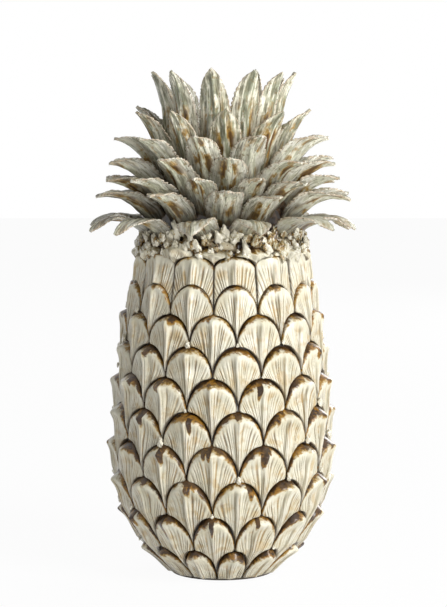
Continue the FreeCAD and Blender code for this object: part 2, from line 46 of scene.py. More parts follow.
# Outline of the scale tips and of the shell under them, as in the frame
FELT_THICKNESS = 1.5
BASE_RADIUS = 40.0
BELLY_RADIUS = 77.5
BELLY_HEIGHT = 80.0
SHOULDER_RADIUS = 59.5
SHOULDER_HEIGHT = 221.0
SEAT_GAP = 0.3
LIP_THICKNESS = 7.0
TAIL_THICKNESS = 3.0
MIDDLE_THICKNESS = (TAIL_THICKNESS + LIP_THICKNESS) / 2
FIRST_ROW_RISE = 22.5
ROW_RISE = 25.0
ROW_RISE_STEP = 0.8
ROW_COUNT = 9
SCALE_COUNT = 13
SCALE_GAP = 0.6
SCALE_EDGE_SHARE = 0.975
ROW_PHASE = math.radians(8.5)
HALF_PITCH = math.pi / SCALE_COUNT
STAVE_ARCH_RISE = 7.0
BRACT_RISE = 8.0
BRACT_THICKNESS = 9.0

# Crown core and the rings of leaves on it
CORE_STEP = 0.6
CORE_TAPER = 8.0
CORE_DRUM_HEIGHT = 52.0
CORE_DOME_RISE = 14.0
LEAF_THICKNESS = 2.4
LEAF_FOLD = math.radians(24)
LEAF_BURY = 3.0
LEAF_LEAN = math.radians(8)
LEAF_SWAY = math.radians(8)
LEAF_SPREAD_SHARE = 0.1
LEAF_BEND_POWER = 2.0

# Each ring's count, first angle, root as a share of the core's drum, length, half width, and the
# tilt from upright at the root and at the tip. Angles are in degrees.
LEAF_RINGS = {
    "leaf_ring_1": (12, -14, 0.12, 51, 11.5, 44, 146),
    "leaf_ring_2": (11, 0, 0.3, 49, 11.5, 40, 106),
    "leaf_ring_3": (12, -13, 0.43, 46, 10.5, 36, 96),
    "leaf_ring_4": (10, 3, 0.57, 48, 11.5, 29, 88),
    "leaf_ring_5": (10, -15, 0.72, 50, 11.5, 17, 78),
    "leaf_ring_6": (10, 2, 0.87, 54, 11, 8, 46),
    "leaf_ring_7": (11, -10, 1.10, 70, 9.5, 0, 26),
}
TOP_RINGS = ("leaf_ring_6", "leaf_ring_7")

# Each leaf's own turn as a share of the pitch, and its lean, sway and stretch as shares of the
# greatest, from the front round by the right
LEAF_PLACES = {
    "leaf_ring_1": (
        (0.05, 0.1, -0.9, -0.1), (0, 0, 0.7, -0.3), (0.2, -0.2, 0.5, 0.1),
        (0.1, 0, 0, 0.1), (0.05, 0.3, -0.2, 0.2), (-0.05, -0.2, 0.4, -0.3),
        (0.05, 0.2, -0.3, 0.3), (0, -0.3, 0.2, 0), (0.05, 0.1, 0.3, -0.2),
        (0.1, -0.1, 0, 0.2), (0, 0.2, -0.2, 0.1), (-0.2, 0.3, -0.2, 0),
    ),
    "leaf_ring_2": (
        (0.04, 0, 0, 0), (-0.2, 0.4, -0.1, -0.3), (0.1, 0.5, 0.5, 0.6),
        (-0.05, -0.2, 0, 0.1), (0.05, 0.2, -0.4, -0.2), (0, -0.3, 0.3, 0.3),
        (0.05, 0.3, 0.2, -0.3), (-0.05, -0.2, -0.5, 0.2), (0, 0.1, 0.2, 0),
        (-0.1, -0.1, -0.2, 0.1), (0, 0.2, -0.4, -0.1),
    ),
    "leaf_ring_3": (
        (0, 0, 0, 0), (0, 0, 0.1, 0), (-0.12, 0.4, -0.1, -0.1),
        (0, -0.4, 0.2, 0.3), (0, 0, -0.3, -0.2), (0.05, -0.3, 0.3, 0.2),
        (-0.05, 0.1, 0.4, 0), (0, 0.3, -0.3, 0.3), (0.05, 0, 0.2, -0.3),
        (0.05, -0.4, 0, 0.3), (0, -0.2, 0, 0.1), (-0.1, 0, -0.3, 0),
    ),
    "leaf_ring_4": (
        (0, 0, 0.4, 0), (0.05, 0.2, 0.1, -0.1), (0, 0.1, 0, 0),
        (-0.12, -0.1, 0.1, 0.8), (0, 0.3, -0.4, -0.2), (0.05, -0.2, 0.2, 0.1),
        (0, 0.2, 0.4, -0.3), (-0.12, 0, 0, 0.3), (-0.15, 0, -0.2, 0),
        (0.08, 0, -0.6, 0),
    ),
    "leaf_ring_5": (
        (0.07, 0, -0.4, 0), (0, 0, 0.1, 0.1), (0.16, 0, 0.2, 0.4),
        (0.05, 0, 0, 0.5), (0, 0.2, 0.4, -0.2), (-0.05, -0.1, -0.3, 0.2),
        (0.05, 0.2, 0.2, 0), (0, -0.1, -0.4, -0.2), (0.05, 0.1, 0, 0.4),
        (0, 0.1, 0.2, 0.1),
    ),
    "leaf_ring_6": (
        (0, 0, 0, 0), (-0.05, 0.1, 0.8, 0), (0.1, 0, 0.2, 0.3),
        (0, 0.1, 0, -0.1), (0, 0, -0.4, 0), (0.05, 0.2, 0.2, -0.3),
        (-0.05, 0.1, 0.3, 0.1), (0, 0, -0.1, 0.8), (-0.03, 0.1, -0.2, 0),
        (0.1, 0.1, -0.6, 0),
    ),
    "leaf_ring_7": (
        (0, 0, 0.2, 0.2), (0, 0, 0.1, 0), (0, 0, 0, -0.1),
        (0, 0.1, 0, 0), (-0.05, 0, -0.2, -0.5), (-0.05, -0.1, -0.2, 0.4),
        (0, 0, 0.1, -0.3), (0.05, 0, -0.1, -0.4), (0, 0.1, 0.1, -0.2),
        (0, 0, 0, 0), (0, 0, 0, 0),
    ),
}


def level(row):
    """Height where a row of scales ends; row 0 is the foot."""
    if row == 0:
        return FELT_THICKNESS
    climbed = row - 1
    lost = climbed * (climbed - 1) / 2 * ROW_RISE_STEP
    return FELT_THICKNESS + FIRST_ROW_RISE + climbed * ROW_RISE - lost


def arc_radius(half_chord, rise):
    """Radius of the circle that rises so far over a chord."""
    return (half_chord ** 2 + rise ** 2) / (2 * rise)


def lip_radius(height):
    """Radius of the scale tips: two arcs that meet upright at the belly."""
    low = arc_radius(BELLY_HEIGHT - FELT_THICKNESS, BELLY_RADIUS - BASE_RADIUS)
    high = arc_radius(SHOULDER_HEIGHT - BELLY_HEIGHT, BELLY_RADIUS - SHOULDER_RADIUS)
    away = height - BELLY_HEIGHT
    radius = np.where(away < 0, low, high)
    return BELLY_RADIUS - radius + np.sqrt(radius ** 2 - away ** 2)


LEVELS = np.array([level(row) for row in range(ROW_COUNT + 2)])
SEATS = lip_radius(LEVELS) - LIP_THICKNESS - SEAT_GAP
NECK_HEIGHT = LEVELS[-1]
NECK_SEAT = SEATS[-1]
CORE_FOOT_RADIUS = NECK_SEAT - CORE_STEP
CORE_BROW_RADIUS = CORE_FOOT_RADIUS - CORE_TAPER
CORE_DOME_RADIUS = arc_radius(CORE_BROW_RADIUS, CORE_DOME_RISE)


def seat_radius(height):
    """Outside of the shell: straight bands between the levels."""
    return np.interp(height, LEVELS, SEATS)


def wrapped(radius, turned, height):
    """Points from a radius, an angle from the front round by the right, and a height."""
    return np.stack([radius * np.sin(turned), -radius * np.cos(turned), height], axis=-1)


def put_mesh(name, loops, layers):
    """Closed pieces from loops[piece, station, point, xyz]: quads between loops, a cap at each end.

    layers holds named values per point, which the materials read as attributes."""
    pieces, stations, points, _ = loops.shape
    per_piece = stations * points
    i, j = np.meshgrid(np.arange(stations - 1), np.arange(points), indexing="ij")
    here, there = i * points + j, i * points + (j + 1) % points
    quads = np.stack([here, there, there + points, here + points], axis=-1).reshape(-1, 4)
    offsets = np.arange(pieces)[:, None, None] * per_piece
    all_quads = (quads[None] + offsets).reshape(-1, 4)
    first = np.arange(points)[::-1]
    last = per_piece - points + np.arange(points)
    caps = (np.stack([first, last])[None] + offsets).reshape(-1, points)
    corners = np.concatenate([all_quads.ravel(), caps.ravel()])
    totals = np.concatenate([np.full(len(all_quads), 4), np.full(len(caps), points)])
    starts = np.concatenate([[0], np.cumsum(totals)[:-1]])
    mesh = bpy.data.meshes.new(name)
    mesh.vertices.add(pieces * per_piece)
    mesh.vertices.foreach_set("co", (loops.reshape(-1) * MM).astype(np.float32))
    mesh.loops.add(len(corners))
    mesh.loops.foreach_set("vertex_index", corners.astype(np.int32))
    mesh.polygons.add(len(totals))
    mesh.polygons.foreach_set("loop_start", starts.astype(np.int32))
    mesh.polygons.foreach_set("loop_total", totals.astype(np.int32))
    mesh.polygons.foreach_set("use_smooth", np.full(len(totals), True))
    mesh.update(calc_edges=True)
    for layer, values in layers.items():
        attribute = mesh.attributes.new(layer, "FLOAT", "POINT")
        attribute.data.foreach_set("value", values.reshape(-1).astype(np.float32))
    mesh.validate()
    piece = bpy.data.objects.new(name, mesh)
    bpy.context.scene.collection.objects.link(piece)
    return piece


def smooth_least(a, b, round_mm):
    """The lesser of two heights, with the corner between them rounded."""
    mix = np.clip(0.5 + 0.5 * (b - a) / round_mm, 0, 1)
    return b * (1 - mix) + a * mix - round_mm * mix * (1 - mix)


def ease(value, low, high):
    """0 at low, 1 at high, straight between."""
    return np.clip((value - low) / (high - low), 0, 1)


def chance(number, seed):
    """A value from 0 to 1 that looks random and is the same for the same number and seed."""
    return np.mod(np.sin(number * 12.9898 + seed * 78.233) * 43758.5453, 1.0)


def bump_of(share):
    """A half ellipse: 1 at 0, and 0 at -1 and 1."""
    return np.sqrt(np.clip(1 - share ** 2, 0, 1))


# Grid of a tile: points across, stations up the tail, up the arch and up a stave. The powers draw
# them together towards the arch and the sides.
TILE_ACROSS = 69
TAIL_STATIONS = 20
ARCH_STATIONS = 32
STAVE_STATIONS = 38
TAIL_SPACING, ACROSS_SPACING, STAVE_SPACING = 0.8, 0.9, 0.9
BACK_GAP = SEAT_GAP / 2

# A tile's outline: where its tail starts, how nearly the tail and the arch close to a point, the
# least half width and the wander, as shares
TAIL_START, TAIL_END, ARCH_END = 0.12, 0.999, 0.9995
LEAST_HALF, OUTLINE_WANDER = 0.004, 0.018
UNEVEN_TIPS = 0.12

# Relief of a tile. VARY is what a seed from 0 to 1 adds. Where sines are summed below, their bare
# numbers are the rate along the piece and how far a seed shifts the wave.
TILE_GROWN = 1.2
ROOF_DROP, ROOF_HALF_WIDTH, ROOF_POWER = 1.5, 18.0, 1.3
RIB_HEIGHT, RIB_VARY = 0.75, 0.5
RIB_HALF_WIDTH, RIB_SPREAD = 0.8, 0.7
RIB_SHIFT, RIB_WANDER = 1.2, 0.7
RIB_FREE = (2.5, 7.5)
DISH_DEPTH, DISH_HALF_WIDTH, DISH_PLACE = 0.55, 1.6, 2.4
LIP_SWELL, LIP_VARY, LIP_DROP, LIP_REACH, LIP_SLOPE = 1.5, 1.4, 6.0, 5.0, 2.6
TIP_TWIST, TIP_TURN = 1.1, 0.7
FINGER_SWELL = 0.18
FAN_STEP = math.radians(3.0)
FAN_DROP, FOOT_FAN_DROP, STAVE_FAN_DROP = 5.0, 20.0, 15.0
GROOVE_DEPTH, GROOVE_VARY = 0.15, 0.65
GROOVE_FREE, GROOVE_REACH = (3.5, 10.5), 20.0
BEVEL_FOOT, BEVEL_ROUND = 0.15, 1.2
SIDE_ROUND, SIDE_SHARE, LEAST_THICKNESS = 1.3, 0.6, 0.12

# Glaze that pools under the arch and runs down in two tongues. A seed below FROM gives none.
TONGUE_SHIFT, TONGUE_APART = 8.0, 9.0
TONGUE_LENGTH, TONGUE_HALF_WIDTH, TONGUE_VARY = 12.0, 1.4, 1.3
TONGUE_FROM, TONGUE_POWER = 0.4, 1.6
SECOND_LENGTH, SECOND_HALF_WIDTH, SECOND_VARY = 6.5, 1.2, 1.2
SECOND_FROM = 0.45
FULL_POOL = 3.5
GLAZE_SKIN, SKIN_FADE = 0.3, 1.5


def tile_relief(seat, across, under, climb, ridge, seeds, slope, lump):
    """Thickness of a tile over its back before it is combed, and how far each point is off the rib.

    From the ridge the front falls along a chord to both sides, as in the frame, and a little more
    as a shallow roof. On it stand a wandering rib with a dish on each side, a lip that swells out
    just under the arch where the bevel isn't steep, and the swells that fingers left."""
    a, b, c, d = seeds
    width = across * seat * HALF_PITCH
    front = seat + SEAT_GAP + ridge
    edge = front * SCALE_EDGE_SHARE
    angle = np.abs(across) * HALF_PITCH
    slant = front * np.sin(angle) + edge * np.sin(HALF_PITCH - angle)
    thickness = front * edge * math.sin(HALF_PITCH) / slant - seat - SEAT_GAP

    grown = ease(climb, 0, TILE_GROWN)
    stands = grown * ease(under, *RIB_FREE)
    off_rib = width - RIB_SHIFT * (a - 0.5) - RIB_WANDER * np.sin(climb * 2.6 + b * 6)
    rib_width = RIB_HALF_WIDTH + RIB_SPREAD * grown
    rib = (RIB_HEIGHT + RIB_VARY * c) * np.exp(-(off_rib / rib_width) ** 2)
    off_dish = np.abs(off_rib) - DISH_PLACE * rib_width
    dish = DISH_DEPTH * np.exp(-(off_dish / DISH_HALF_WIDTH) ** 2)
    roof = ROOF_DROP * (np.abs(width) / ROOF_HALF_WIDTH) ** ROOF_POWER
    thickness = thickness - roof * grown + (rib - dish) * stands

    lip = np.exp(-((under - LIP_DROP) / LIP_REACH) ** 2) * (1 - across ** 2)
    thickness = thickness + (LIP_SWELL + LIP_VARY * d) * lip * grown * ease(LIP_SLOPE - slope, 0, 1)
    thickness = thickness + TIP_TWIST * (d - 0.5) * across * grown
    thickness = thickness + TIP_TURN * (c - 0.5) * ease(climb, 1, 2)
    swell = np.sin(width * 0.33 + a * 30) * np.sin(climb * 4.1 + b * 30)
    small_swell = np.sin(width * 0.9 + climb * 6 + c * 30)
    thickness = thickness + (FINGER_SWELL + lump) * swell + 0.6 * lump * small_swell
    return thickness, off_rib


def glaze_edge(width, across, under, seeds, pool):
    """Distance from the lower edge of the pooled glaze, below 0 inside it: a brow that follows the
    arch and two tongues beside the rib, as long as chance made them."""
    a, b, c, d = seeds
    middle = TONGUE_SHIFT * (a - 0.5)
    first_width = TONGUE_HALF_WIDTH + TONGUE_VARY * c
    first = TONGUE_LENGTH * ease(b, TONGUE_FROM, 1) ** TONGUE_POWER
    first = first * bump_of((width - middle) / first_width)
    aside = middle + TONGUE_APART * (c - 0.5)
    second_width = SECOND_HALF_WIDTH + SECOND_VARY * a
    second = SECOND_LENGTH * ease(d, SECOND_FROM, 1) * bump_of((width - aside) / second_width)
    waves = 0.3 * np.sin(across * 3.2 + d * 6) + 0.12 * np.sin(width * 1.1 + c * 20)
    return under - pool * (1 + waves) - np.maximum(first, second) * (pool / FULL_POOL)


def fired_front(seat, across, half, under, climb, ridge, reach, seeds, slope, pool, lump):
    """Thickness of a tile over its back, and the layers that its glaze reads.

    Over the relief go combed grooves that fan out from below the tail, and the skin of the pooled
    glaze. The slab is cut back under the arch on the bevel's slope, and its sides are rounded."""
    a, b, _, _ = seeds
    width = across * seat * HALF_PITCH
    side = (half - np.abs(across)) * seat * HALF_PITCH
    thickness, off_rib = tile_relief(seat, across, under, climb, ridge, seeds, slope, lump)

    fan = np.arctan2(width, reach) / FAN_STEP
    fan = fan + 0.3 * np.sin(fan * 1.3 + a * 40) + 0.2 * np.sin(fan * 0.61 + climb * 1.5 + b * 30)
    depth = GROOVE_DEPTH + GROOVE_VARY * chance(np.round(fan), a) ** 1.5
    groove = (0.5 + 0.5 * np.cos(2 * math.pi * fan)) ** 3
    combed = ease(under, *GROOVE_FREE) * ease(reach, 0, GROOVE_REACH)
    thickness = thickness - depth * groove * combed

    pool_edge = glaze_edge(width, across, under, seeds, pool)
    thickness = thickness + GLAZE_SKIN * ease(-pool_edge, 0, SKIN_FADE)
    thickness = smooth_least(thickness, under * slope + BEVEL_FOOT, BEVEL_ROUND)
    rounded = SIDE_SHARE + (1 - SIDE_SHARE) * bump_of(1 - ease(side, 0, SIDE_ROUND))
    thickness = np.maximum(thickness * rounded, LEAST_THICKNESS)
    layers = {
        "fan_line": fan,
        "pool_edge": pool_edge,
        "side_room": side,
        "off_rib": off_rib,
        "climb": climb,
        "seed": a + 0 * climb,
    }
    return thickness, layers


def tile_ring(name, heights, seats, ridges, half_pitches, rng, slope, pool, lump=0.0,
              uneven_tips=UNEVEN_TIPS, tailed=True):
    """A ring of tiles with a fish-scale outline, from three levels: tail, springing and tip.

    The station w runs 0 to 1 up the tail, between two arches of the ring below, and 1 to 2 up the
    tile's own arch. Height, seat and ridge run straight from level to level, the half width follows
    the arches, and each tile's outline wanders a little."""
    up_arch = 1 + np.sin(np.linspace(0, math.pi / 2, ARCH_STATIONS)) * ARCH_END
    up_tail = np.linspace(TAIL_START, 1, TAIL_STATIONS) ** TAIL_SPACING * TAIL_END
    stations = np.concatenate([up_tail, up_arch[1:]]) if tailed else up_arch
    low, high = np.clip(stations, 0, 1), np.clip(stations - 1, 0, 1)
    half_share = np.where(stations < 1, 1 - bump_of(low), bump_of(high))
    share = np.linspace(-1, 1, TILE_ACROSS)
    share = np.sign(share) * np.abs(share) ** ACROSS_SPACING
    w = np.broadcast_to(stations[None, :, None], (SCALE_COUNT, len(stations), TILE_ACROSS))
    seeds = rng.random((4, SCALE_COUNT, 1, 1))

    arch_rise = (heights[2] - heights[1]) * (1 + uneven_tips * (seeds[3] - 0.5))
    height = np.where(w < 1, np.interp(w, [0, 1], heights[:2]), heights[1] + arch_rise * (w - 1))
    seat = np.interp(w, [0, 1, 2], seats)
    ridge = np.interp(w, [0, 1, 2], ridges)
    gap_share = SCALE_GAP / 2 / (seat * HALF_PITCH)
    half = np.clip(half_share[None, :, None] - gap_share, LEAST_HALF, 1)
    across = share[None, None, :] * half
    under = np.maximum(heights[1] + arch_rise * bump_of(across) - height, 0)
    comb_drop = FAN_DROP if tailed else heights[1] - heights[0] + FOOT_FAN_DROP
    reach = height - heights[0] + comb_drop
    thickness, layers = fired_front(
        seat, across, half, under, w, ridge, reach, seeds, slope, pool, lump
    )

    middle = half_pitches + 2 * np.arange(SCALE_COUNT)[:, None, None]
    middle = ROW_PHASE + middle * HALF_PITCH
    wander = OUTLINE_WANDER * np.sin(w * 5 + share * 2 + seeds[2] * 20) * np.clip(w, 0, 1)
    turned = middle + (across + wander * np.abs(share)) * HALF_PITCH
    back_radius = seat[:, :, :3] + BACK_GAP
    back_turn = middle + np.array([1.0, 0.0, -1.0]) * half[:, :, :3] * HALF_PITCH
    radius = np.concatenate([seat + SEAT_GAP + thickness, back_radius], axis=2)
    turned = np.concatenate([turned, back_turn], axis=2)
    height = np.concatenate([height, height[:, :, :3]], axis=2)
    backed = {
        layer: np.concatenate([values, values[:, :, [-1, 0, 0]]], axis=2)
        for layer, values in layers.items()
    }
    return put_mesh(name, wrapped(radius, turned, height), backed)


STAVE_SLOPE, STAVE_POOL, STAVE_LUMP = 3.0, 1.0, 0.25
STAVE_LIFT, STAVE_VARY, STAVE_ROUND_SHARE = -0.5, 3.5, 0.985
STAVE_RISE_SHARE, STAVE_RISE_VARY = 0.8, 1.1


def stave_pieces(rng):
    """The row under the neck: arched staves that straddle the arches of the last row.

    Each station runs from the arch below, or the springing beside it, to the stave's own low arch,
    and slip pushed up against the tops has left them at different heights."""
    low, mid, rim = LEVELS[-3:]
    stations = np.linspace(0, 1, STAVE_STATIONS) ** STAVE_SPACING
    share = np.linspace(-1, 1, TILE_ACROSS)
    w = np.broadcast_to(stations[None, :, None], (SCALE_COUNT, len(stations), TILE_ACROSS))
    gap_share = SCALE_GAP / 2 / (np.mean(SEATS[-2:]) * HALF_PITCH)
    across = np.broadcast_to(share, w.shape) * (1 - gap_share)
    foot = low + (mid - low) * bump_of(across) + SCALE_GAP
    seeds = rng.random((4, SCALE_COUNT, 1, 1))
    rise = STAVE_ARCH_RISE * (STAVE_RISE_SHARE + STAVE_RISE_VARY * seeds[3])
    arch_drop = rise * (1 - bump_of(across * STAVE_ROUND_SHARE))
    top = rim + STAVE_LIFT + STAVE_VARY * seeds[1] - arch_drop
    height = foot + (top - foot) * w
    seat = seat_radius(height)
    climb = 2 * (height - low) / (rim - low)
    ridge = TAIL_THICKNESS + (LIP_THICKNESS - TAIL_THICKNESS) * climb / 2
    thickness, layers = fired_front(
        seat, across, 1.0, top - height, climb, ridge, height - low + STAVE_FAN_DROP, seeds,
        STAVE_SLOPE, STAVE_POOL, STAVE_LUMP,
    )
    turned = ROW_PHASE + (across + 2 * np.arange(SCALE_COUNT)[:, None, None]) * HALF_PITCH
    front = wrapped(seat + SEAT_GAP + thickness, turned, height)
    back = wrapped(seat + BACK_GAP, turned, height)[:, :, ::-1]
    backed = {
        layer: np.concatenate([values, values[:, :, ::-1]], axis=2)
        for layer, values in layers.items()
    }
    return put_mesh("glazed_staves", np.concatenate([front, back], axis=2), backed)


# Grid of a leaf, its outline and its slab. VARY is what a seed from 0 to 1 adds.
LEAF_ACROSS = 29
LEAF_ALONG = 74
LEAF_WIDER = 1.12
ROOT_WIDTH_SHARE, OPEN_SHARE = 0.76, 0.45
CLOSE_FROM, CLOSE_POWER = 0.36, 0.8
BLUNT, BLUNT_VARY, BLUNT_TOP = 1.8, 1.1, 1.3
LEAST_WIDTH, INNER_WIDTH = 0.03, 0.985
NOTCH_PITCH, NOTCH_SHARE, EDGE_WAVE = 2.7, 0.12, 0.05
KEEL_ROUND = 1.0
FRONT_UNCURL = 0.2
FOLD_SIDE, FOLD_FRONT, FOLD_VARY, FOLD_FULL = 1.1, 0.8, 0.4, 0.4

# Tilts of a tip in degrees: an upright leaf stays under the first, drooping starts at the second
# and is full after the range, and a leaf over the third turns over like a hood
UPRIGHT_TILT, DROOP_TILT, HOOD_TILT, DROOP_RANGE = 30, 90, 120, 50

# How the fold opens towards the tip and flattens, and what a drooping tip adds to each
UNFOLD, UNFOLD_DROOP, UNFOLD_POWER, POWER_DROOP, FLAT_DROOP = 0.35, 1.65, 3, 1.2, 0.4

# Relief of a leaf. It grows in from the smooth root, and the large dents calm down at the tip.
LEAF_GROWN = (0.12, 0.37)
CALM_RATE, CALM_LEAST = 4, 0.1
FLUTE_DEPTH, COMB_DEPTH, DENT_DEPTH, PUCKER_DEPTH, EDGE_CURL = 0.42, 0.2, 0.55, 0.22, 0.7
EDGE_THINNING, TIP_THINNING = 0.6, 0.45
TIP_ASIDE, BLADE_SWAY = 2.6, 0.5


def turned_about(points, pivot, axis, angle):
    """Points turned about an axis line through a pivot, by the right-hand rule."""
    c, s = np.cos(angle), np.sin(angle)
    p = points - pivot
    x, y, z = p[..., 0], p[..., 1], p[..., 2]
    if axis == "X":
        turned = np.stack([x, y * c - z * s, y * s + z * c], axis=-1)
    elif axis == "Y":
        turned = np.stack([x * c + z * s, y, -x * s + z * c], axis=-1)
    else:
        turned = np.stack([x * c - y * s, x * s + y * c, z], axis=-1)
    return turned + pivot


def leaf_root(root_share):
    """Radius and height of the core's surface where a leaf leaves it; past 1 it is on the dome."""
    if root_share < 1:
        radius = CORE_FOOT_RADIUS - CORE_TAPER * root_share
        return radius, NECK_HEIGHT + CORE_DRUM_HEIGHT * root_share
    over = CORE_DOME_RISE * (root_share - 1)
    over_centre = over - CORE_DOME_RISE + CORE_DOME_RADIUS
    radius = math.sqrt(CORE_DOME_RADIUS ** 2 - over_centre ** 2)
    return radius, NECK_HEIGHT + CORE_DRUM_HEIGHT + over


def leaf_side(s, v, seeds, length, half_width, upright):
    """Distance of each point from the keel line. The width opens from the root along a sine, closes
    to the tip along a power curve, and is pinched into small notches along both edges."""
    a, b, c, d = seeds
    hand = np.sign(s)
    open_out = np.sin(math.pi / 2 * np.clip(v / OPEN_SHARE, 0, 1))
    open_out = ROOT_WIDTH_SHARE + (1 - ROOT_WIDTH_SHARE) * open_out
    blunt = BLUNT + BLUNT_VARY * d + (BLUNT_TOP if upright else 0)
    close_up = np.clip(1 - ease(v, CLOSE_FROM, 1) ** blunt, 0, 1) ** CLOSE_POWER
    run = v * length / NOTCH_PITCH + 0.9 * np.sin(v * 7 + a * 20 + hand) + 0.5 * hand
    notch = (0.5 + 0.5 * np.cos(2 * math.pi * run)) ** 2 * chance(np.round(run), b + 0.1 * hand)
    wave = EDGE_WAVE * np.sin(v * 10 + c * 20 + 1.7 * hand)
    scallop = 1 + (wave - NOTCH_SHARE * notch) * ease(v, *LEAF_GROWN)
    return LEAF_WIDER * half_width * np.maximum(open_out * close_up * scallop, LEAST_WIDTH) * s


def leaf_face(s, v, side, seeds, facing, droop):
    """Depth of the outer face behind the keel. It falls back to both edges as a rounded fold, which
    is deepest on the leaves at the sides and turns over at tips that droop. Long flutes, combed
    ridges, finger dents and a curled edge ride on it."""
    a, b, c, d = seeds
    hand = np.sign(s)
    grown = ease(v, *LEAF_GROWN)
    calm = np.clip((1 - v) * CALM_RATE, CALM_LEAST, 1)
    deeper = FOLD_SIDE - FOLD_FRONT * facing + FOLD_VARY * (d - 0.5)
    fold = np.tan(LEAF_FOLD) * (1 + deeper * np.sin(math.pi / 2 * np.clip(v / FOLD_FULL, 0, 1)))
    opened = (UNFOLD + UNFOLD_DROOP * droop) * v ** (UNFOLD_POWER - POWER_DROOP * droop)
    fold = fold * (1 - FLAT_DROOP * droop) * (1 - opened)
    outer = (np.sqrt(side ** 2 + KEEL_ROUND ** 2) - KEEL_ROUND) * fold

    inward = np.clip(1 - np.abs(s) ** 4, 0, 1)
    flutes = np.sin(side * 1.3 + a * 20 + 1.4 * np.sin(v * 6 + b * 9)) * inward
    combed = np.sin(side * 3.3 + c * 20 + 1.2 * np.sin(v * 9 + d * 9))
    dents = np.sin(v * 8 + s * 1.7 + a * 40) * np.sin(s * 2.6 + b * 30 + v * 2)
    puckers = np.sin(v * 21 + s * 5 + c * 40) * np.sin(s * 7 + v * 9 + d * 30)
    curl = np.abs(s) ** 3 * np.sin(v * 15 + b * 12 + hand * 0.9)
    fine = FLUTE_DEPTH * flutes + COMB_DEPTH * combed + PUCKER_DEPTH * puckers
    return outer + DENT_DEPTH * calm * dents + (fine + EDGE_CURL * calm * curl) * grown


def leaf_pieces(node, rng):
    """Leaves of one ring: a folded slab section carried along an arc that curls out of the core.

    The inner face follows the outer one slab behind, and the slab thins to its edges and its tip.
    The front leaves curl a little less than the others, and each tip is bent to one side."""
    count, phase, root_share, length, half_width, start, end = LEAF_RINGS[node]
    root_radius, root_height = leaf_root(root_share)
    pivot = np.array([0.0, -(root_radius - LEAF_BURY), root_height])
    v = np.linspace(0, 1, LEAF_ALONG)[None, :, None]
    seeds = rng.random((4, count, 1, 1))
    a, _, c, _ = seeds
    s = np.broadcast_to(np.linspace(-1, 1, LEAF_ACROSS), (count, LEAF_ALONG, LEAF_ACROSS))

    turn, lean, sway, stretch = np.array(LEAF_PLACES[node]).T[:, :, None, None]
    places = np.arange(count)[:, None, None]
    around = math.radians(phase) + 2 * math.pi * (places + turn) / count
    facing = np.cos(around) ** 2
    droop = np.clip((end - DROOP_TILT) / DROOP_RANGE, 0, 1)
    uncurl = FRONT_UNCURL * facing * (UPRIGHT_TILT < end < HOOD_TILT)
    root_tilt, tip_tilt = math.radians(start), math.radians(end) * (1 - uncurl)
    tilt = root_tilt + (tip_tilt - root_tilt) * v ** LEAF_BEND_POWER
    step = length / (LEAF_ALONG - 1)
    out = (np.cumsum(np.sin(tilt), axis=1) - np.sin(tilt[:, :1])) * step
    up = (np.cumsum(np.cos(tilt), axis=1) - np.cos(tilt[:, :1])) * step

    side = leaf_side(s, v, seeds, length, half_width, end < UPRIGHT_TILT)
    outer = leaf_face(s, v, side, seeds, facing, droop)
    thinned = (1 - EDGE_THINNING * np.abs(s) ** 3) * np.clip(1.1 - TIP_THINNING * v, 0, 1)
    inner = outer + LEAF_THICKNESS * thinned
    aside = TIP_ASIDE * (c - 0.5) * v ** 2.5 + BLADE_SWAY * np.sin(v * 6 + a * 9) * v

    def placed(lateral, depth):
        across, back, rise = lateral + aside, depth * np.cos(tilt) - out, up + depth * np.sin(tilt)
        return np.stack([across, back, rise], axis=-1) + pivot

    inner_loop = placed(side[:, :, ::-1] * INNER_WIDTH, inner[:, :, ::-1])
    loops = np.concatenate([placed(side, outer), inner_loop], axis=2)
    loops = pivot + (loops - pivot) * (1 + stretch * LEAF_SPREAD_SHARE)[..., None]
    loops = turned_about(loops, pivot, "X", lean * LEAF_LEAN)
    loops = turned_about(loops, pivot, "Y", sway * LEAF_SWAY)
    loops = turned_about(loops, np.zeros(3), "Z", around)

    def both(outside, inside):
        outside, inside = np.broadcast_to(outside, s.shape), np.broadcast_to(inside, s.shape)
        return np.concatenate([outside, inside[:, :, ::-1]], axis=2)

    layers = {
        "off_keel": both(side, side),
        "edge_share": both(np.abs(s), np.abs(s)),
        "run": both(v * length, v * length),
        "inside": both(0, 1),
        "seed": both(a, a),
    }
    return put_mesh(f"glazed_{node}", loops, layers)


BLOB_RINGS, BLOB_POINTS = 15, 20
BLOB_END, BLOB_TAPER, BLOB_SAG = 0.05, 0.25, 0.12


def blobs(name, around, out, height, wide, tall, deep, tilt, seeds, kind):
    """Drops of slip or glaze stuck to the surface at an angle, radius and height.

    Each is an ellipsoid, narrower at the top and hanging out at the foot, whose radius sines wave
    over both angles."""
    a, c, d = seeds
    theta = np.linspace(BLOB_END, math.pi - BLOB_END, BLOB_RINGS)[None, :, None]
    phi = np.linspace(0, 2 * math.pi, BLOB_POINTS, endpoint=False)[None, None, :]
    waved = 1 + 0.2 * np.sin(2 * phi + 9 * c + 3 * theta)
    waved = waved + 0.12 * np.sin(3 * phi - 4 * theta + 20 * d)
    waved = waved + 0.1 * np.sin(4 * phi + 6 * theta + 20 * a)
    x = wide * waved * (1 - BLOB_TAPER * np.cos(theta)) * np.sin(theta) * np.cos(phi)
    y = out + deep * waved * np.sin(theta) * np.sin(phi) - BLOB_SAG * tall * np.cos(theta)
    z = tall * waved * np.cos(theta)
    turned_x = x * np.cos(tilt) - z * np.sin(tilt)
    turned_z = x * np.sin(tilt) + z * np.cos(tilt) + height
    right = turned_x * np.cos(around) + y * np.sin(around)
    back = turned_x * np.sin(around) - y * np.cos(around)
    loops = np.stack([right, back, turned_z], axis=-1)
    return put_mesh(name, loops[:, :, ::-1], {"kind": kind + 0 * x})


